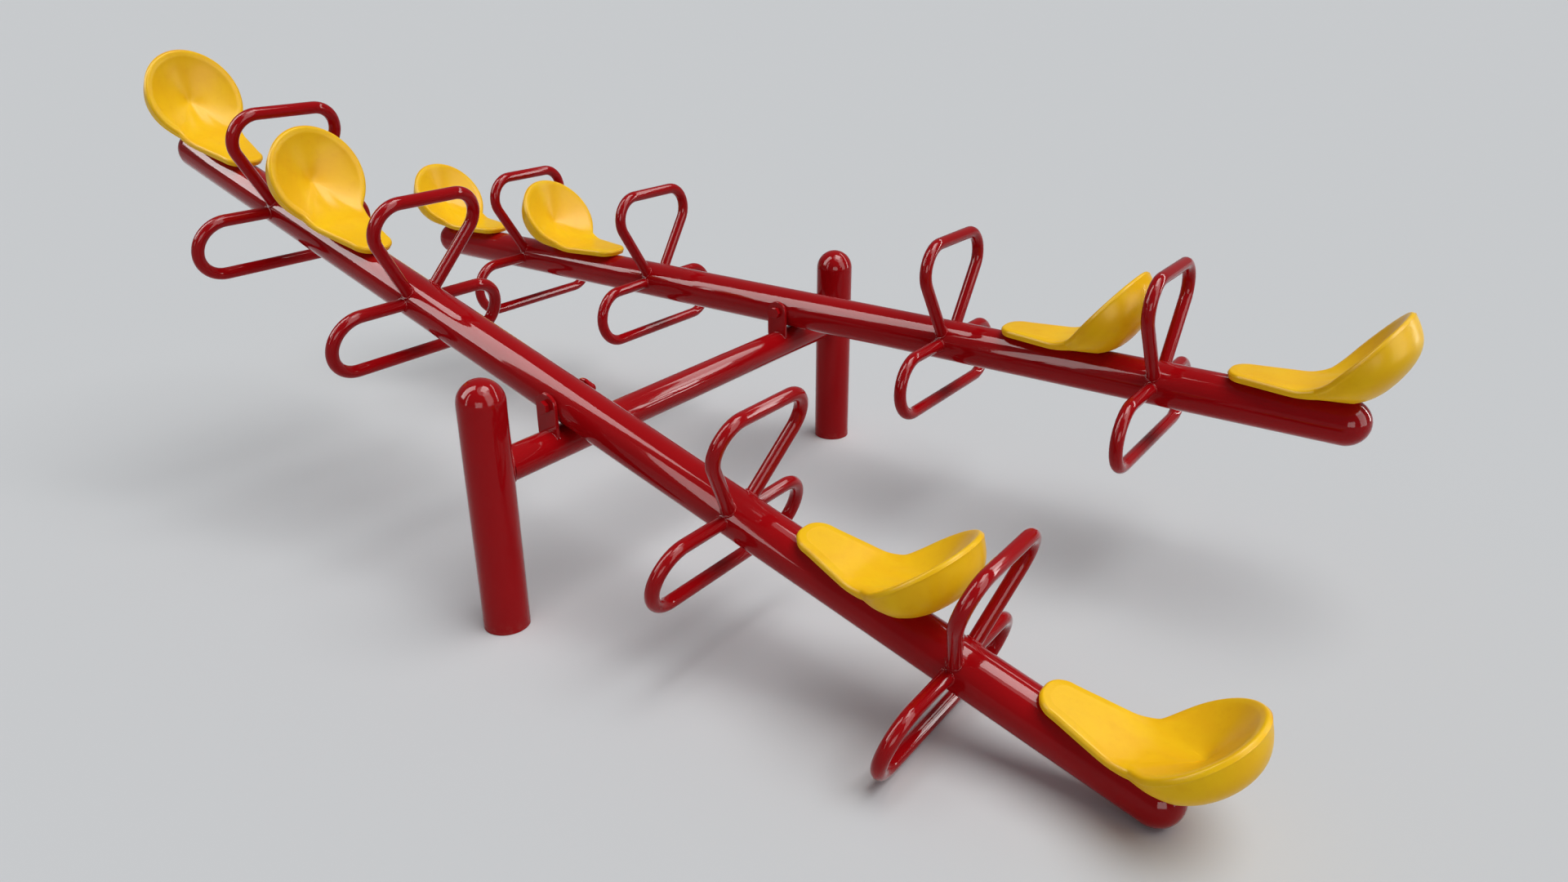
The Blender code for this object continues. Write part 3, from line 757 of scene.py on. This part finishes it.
def seatOutline():
    # half the seat's outline laid flat, from the tongue's tip round to the back of the bowl
    tip = -seat["tongueLength"]
    corner = seat["tongueCorner"]
    neckY = seat["neckHalfWidth"] + seat["neckRadius"]
    neckX = seat["bowlCentre"] - sqrt((seat["bowlRadius"] + seat["neckRadius"]) ** 2 - neckY ** 2)
    points = [Vector((tip, 0.0))]
    cornerCentre = (tip + corner, seat["tongueHalfWidth"] - corner)
    points += arc(cornerCentre, corner, seat["tipTurn"], pi / 2, seat["tipSteps"])
    sideStart = points[-1]
    sideEnd = Vector((neckX, seat["neckHalfWidth"]))
    points += [sideStart.lerp(sideEnd, share) for share in seat["sideShares"]]
    toBowl = atan2(-neckY, seat["bowlCentre"] - neckX)
    points += arc((neckX, neckY), seat["neckRadius"], -pi / 2, toBowl, seat["neckSteps"])
    bowlStart = atan2(neckY, neckX - seat["bowlCentre"])
    points += arc((seat["bowlCentre"], 0), seat["bowlRadius"], bowlStart, 0, seat["bowlSteps"])[1:]
    points[-1] = Vector((points[-1].x, 0.0))
    return points


def seatBend(station):
    # where a station of the flat outline comes to lie once the back is bent up, and its axes there
    bendLength = seat["bendRadius"] * seat["backAngle"]
    turn = min(max(station, 0), bendLength) / seat["bendRadius"]
    straight = max(station - bendLength, 0)
    x = min(station, 0) + seat["bendRadius"] * sin(turn) + straight * cos(turn)
    z = seat["bendRadius"] * (1 - cos(turn)) + straight * sin(turn)
    place = Vector((x, 0, seat["sole"] + seat["rimHeight"] + z))
    return place, Vector((cos(turn), 0, sin(turn))), Vector((-sin(turn), 0, cos(turn)))


def seatSpine(station):
    # the middle line runs flat along the tongue, then hurries ahead to the dish's deepest point
    start, end = seat["bowlFrom"], seat["rampEnd"]
    x = station
    if station > start:
        share = min((station - start) / (end - start), 1)
        ahead = smoothShare(share, 0, 1)
        x = start * (1 - ahead) + (end - start) * share * (1 - share) ** 2 + seat["dishReach"] * ahead
    level = seat["sole"] + seat["rimHeight"] + seat["tongueCrown"]
    rise = seat["sole"] + seat["dishRise"] - level
    return Vector((x, 0, level + rise * (max(x, 0) / seat["dishReach"]) ** seat["dishCurve"]))


def seatRow(outline, index):
    station, across = outline[index]
    origin, along, up = seatBend(station)
    edge = origin + Vector((0, across, 0))
    run = (outline[min(index + 1, len(outline) - 1)] - outline[max(index - 1, 0)]).normalized()
    if index == 0:
        run = Vector((0, 1))
    if index == len(outline) - 1:
        run = Vector((0, -1))
    out = -run.y * along + run.x * Vector((0, 1, 0))
    first = -seat["tongueLength"] + seat["tongueCorner"]
    spine = seatSpine(max(station, first))
    bowl = smoothShare(station, seat["bowlFrom"], seat["bowlFull"])
    lipIn, lipUp, rimIn, rimUp, fall, soleShare = [mixed(seat[word], bowl) for word in (
        "lipIn", "lipUp", "rimIn", "rimUp", "undersideFall", "undersideSpread")]

    lip = edge - out * lipIn + up * lipUp
    pull = (lip - spine).length * seat["wallPull"]
    steep = seat["wallSteep"] * bowl
    square = lip - (out * cos(steep) + up * sin(steep)) * pull
    dish = (spine, spine.lerp(lip, 0.33), square.lerp(spine.lerp(lip, 0.67), 1 - bowl), lip)
    row = [curve(dish, t) for t in seat["dishStops"]]

    core = edge - out * (rimIn - seat["rimRound"]) - up * (rimUp - seat["rimRound"])
    for pair in seat["rimAngles"]:
        angle = radians(mixed(pair, bowl))
        row.append(core + out * rimIn * cos(angle) + up * rimUp * sin(angle))

    under = row[-1]
    share = min(max(station, 0) / seat["bowlCentre"], 1)
    sole = Vector((max(min(station, 0), first) + seat["undersideReach"] * share, 0, seat["sole"]))
    fallen = under - up * (under.z - seat["sole"]) * fall
    fallen.z = max(fallen.z, seat["sole"])
    spread = sole + Vector((under.x - sole.x, under.y, 0)) * soleShare
    return row + [curve((under, fallen, spread, sole), t) for t in seat["undersideStops"]]


def fitCage(obj, rounds=5, step=0.9):
    # move the cage out until the smoothed skin runs through the points that were drawn
    targets = [vert.co.copy() for vert in obj.data.vertices]
    smooth = obj.modifiers.new("smooth", "SUBSURF")
    smooth.levels = smooth.render_levels = 2
    for _ in range(rounds):
        graph = bpy.context.evaluated_depsgraph_get()
        skin = obj.evaluated_get(graph).data
        reached = [skin.vertices[i].co.copy() for i in range(len(targets))]
        for vert, target, now in zip(obj.data.vertices, targets, reached):
            vert.co += (target - now) * step
        obj.data.update()
    obj.modifiers.remove(smooth)


def buildSeat():
    outline = seatOutline()
    rows = [seatRow(outline, index) for index in range(len(outline))]
    lastRow, lastColumn = len(rows) - 1, len(rows[0]) - 1
    bpy.ops.object.select_all(action="DESELECT")
    bpy.ops.mesh.primitive_grid_add(x_subdivisions=2 * lastRow, y_subdivisions=lastColumn, size=2)
    obj = added("seat_skin")
    for vert in obj.data.vertices:
        step = round((vert.co.x + 1) * lastRow)
        column = round((vert.co.y + 1) / 2 * lastColumn)
        row, sign = (step, 1) if step <= lastRow else (2 * lastRow - step, -1)
        point = rows[row][column]
        vert.co = (point.x, sign * point.y, point.z)
    turnOut(closeUp(obj, seat["smoothAngle"]))
    fitCage(obj)
    addModifier(obj, "SUBSURF", levels=seat["smoothing"], render_levels=seat["smoothing"])
    return turnOut(closeUp(obj, seat["smoothAngle"]))


patterns = {"handle": buildHandle(), "footrest": buildFootrest(), "seat": buildSeat()}
print("handle, footrest and seat modelled")

for side in ("near", "far"):
    for end, sign in (("a", 1), ("b", -1)):
        turn = Matrix.Rotation(0 if sign > 0 else pi, 4, "Z")
        for rank in ("inner", "outer"):
            tail = "_" + end + "_" + rank
            places = {"handle": stations[rank], "footrest": stations[rank],
                      "seat": stations[rank] + seat["behindHandle"]}
            for kind, pattern in patterns.items():
                obj = copyOf(pattern, side + "_" + kind + tail + "_skin")
                shift = Matrix.Translation((sign * places[kind], 0, 0))
                settle(obj, beamPlaces[side] @ shift @ turn)
                if kind == "seat":
                    finishPiece(obj, side + "_beam", "yellow_plastic", yellowPlastic, side + "_seat" + tail)
                else:
                    finishPiece(obj, side + "_beam", "red_paint", pipePaint, side + "_" + kind + tail)
for pattern in patterns.values():
    bpy.data.objects.remove(pattern)
print("handles, footrests and seats placed")


# Solids that keep their own shape get their finish here

kept = {"ear": redPaint, "pivot": redPaint, "bush": blackNylon, "stud": zincSteel}
for name, node in nodes.items():
    if node.hide_render:
        continue
    for word, finish in kept.items():
        if word in name:
            node.data.materials.clear()
            node.data.materials.append(finish)
print("pivot hardware finished")


# Floor, light and camera

studio = {
    "floor": (0.62, 0.63, 0.64, 1),
    "floorRoughness": 0.85,
    "floorGrain": 8.0,
    "floorSize": 400.0,
    "world": (0.24, 0.25, 0.26, 1),
    "keyStrength": 2.3,
    "keyWidth": radians(50),
    "keyTurn": (radians(-4), radians(20), 0),
    "panelColour": (1.0, 0.985, 0.97),
    "panelDistance": 14.0,
    "panelCentre": Vector((0, 0, 0.5)),
}
bpy.ops.object.select_all(action="DESELECT")
bpy.ops.mesh.primitive_plane_add(size=studio["floorSize"], location=(0, 0, 0))
floor = added("studio_floor")
floorSheet = Finish("studio_floor")
grain = floorSheet.noise(floorSheet.coordinates(), studio["floorGrain"])
floorSheet.coat(BaseColor=studio["floor"], Roughness=studio["floorRoughness"] + 0.1 * grain,
                SpecularIORLevel=0.0)
floor.data.materials.append(floorSheet.material)

world = bpy.data.worlds.new("studio_world")
world.use_nodes = True
background = world.node_tree.nodes["Background"]
background.inputs["Color"].default_value = studio["world"]
background.inputs["Strength"].default_value = 1.0
bpy.context.scene.world = world

sunData = bpy.data.lights.new("broad_key", "SUN")
sunData.energy = studio["keyStrength"]
sunData.angle = studio["keyWidth"]
sun = bpy.data.objects.new("broad_key", sunData)
bpy.context.scene.collection.objects.link(sun)
sun.rotation_euler = studio["keyTurn"]

# panels far off that only show as reflections in the gloss: where they stand as seen from the
# seesaw, how wide and tall they look and how far their top leans to the left, all in degrees
panels = {
    "window": {"azimuth": -138, "elevation": 46, "spread": (23, 58), "lean": -6, "glow": 17},
    "window_edge": {"azimuth": -107, "elevation": 24, "spread": (6, 44), "lean": 0, "glow": 12},
    "arc_low": {"azimuth": 44.5, "elevation": 9, "spread": (5, 24), "lean": 10, "glow": 20},
    "arc_middle": {"azimuth": 53, "elevation": 27.5, "spread": (5, 20), "lean": 39, "glow": 17},
    "arc_high": {"azimuth": 78, "elevation": 41, "spread": (6, 29), "lean": 71, "glow": 9},
    "ceiling": {"azimuth": 32, "elevation": 72, "spread": (32, 24), "lean": 0, "glow": 18},
    "far_wall": {"azimuth": 3, "elevation": 27, "spread": (32, 64), "lean": 0, "glow": 7.5},
    "side_wall": {"azimuth": -50, "elevation": 3, "spread": (30, 34), "lean": 0, "glow": 8.5},
}


def hangPanel(name, panel):
    distance = studio["panelDistance"]
    azimuth, elevation, lean = [radians(panel[word]) for word in ("azimuth", "elevation", "lean")]
    width, height = [2 * distance * tan(radians(spread / 2)) for spread in panel["spread"]]
    data = bpy.data.lights.new(name, "AREA")
    data.shape = "RECTANGLE"
    data.size, data.size_y = width, height
    data.energy = panel["glow"] * pi * width * height
    data.color = studio["panelColour"]
    lamp = bpy.data.objects.new(name, data)
    bpy.context.scene.collection.objects.link(lamp)
    outward = Vector((cos(azimuth) * cos(elevation), sin(azimuth) * cos(elevation), sin(elevation)))
    left = Vector((-sin(azimuth), cos(azimuth), 0))
    top = outward.cross(left)
    top, left = top * cos(lean) + left * sin(lean), left * cos(lean) - top * sin(lean)
    turned = Matrix((left, top, outward)).transposed().to_4x4()
    lamp.matrix_world = Matrix.Translation(studio["panelCentre"] + outward * distance) @ turned
    lamp.visible_camera = False
    lamp.visible_diffuse = False


for name, panel in panels.items():
    hangPanel(name, panel)

view = {
    "place": (1.8916, -2.1975, 1.5016),
    "right": (0.8136, 0.5815, 0.0),
    "up": (-0.2341, 0.3275, 0.9155),
    "lens": 24.968,
    "sensor": 36.0,
    "clip": (0.02, 200.0),
}
cameraData = bpy.data.cameras.new("studio_camera")
cameraData.lens = view["lens"]
cameraData.sensor_width = view["sensor"]
cameraData.clip_start, cameraData.clip_end = view["clip"]
camera = bpy.data.objects.new("studio_camera", cameraData)
bpy.context.scene.collection.objects.link(camera)
right = Vector(view["right"]).normalized()
up = Vector(view["up"]).normalized()
back = right.cross(up).normalized()
camera.matrix_world = Matrix.Translation(view["place"]) @ Matrix((right, up, back)).transposed().to_4x4()
bpy.context.scene.camera = camera
bpy.context.scene.view_settings.view_transform = "Standard"
print("studio set")
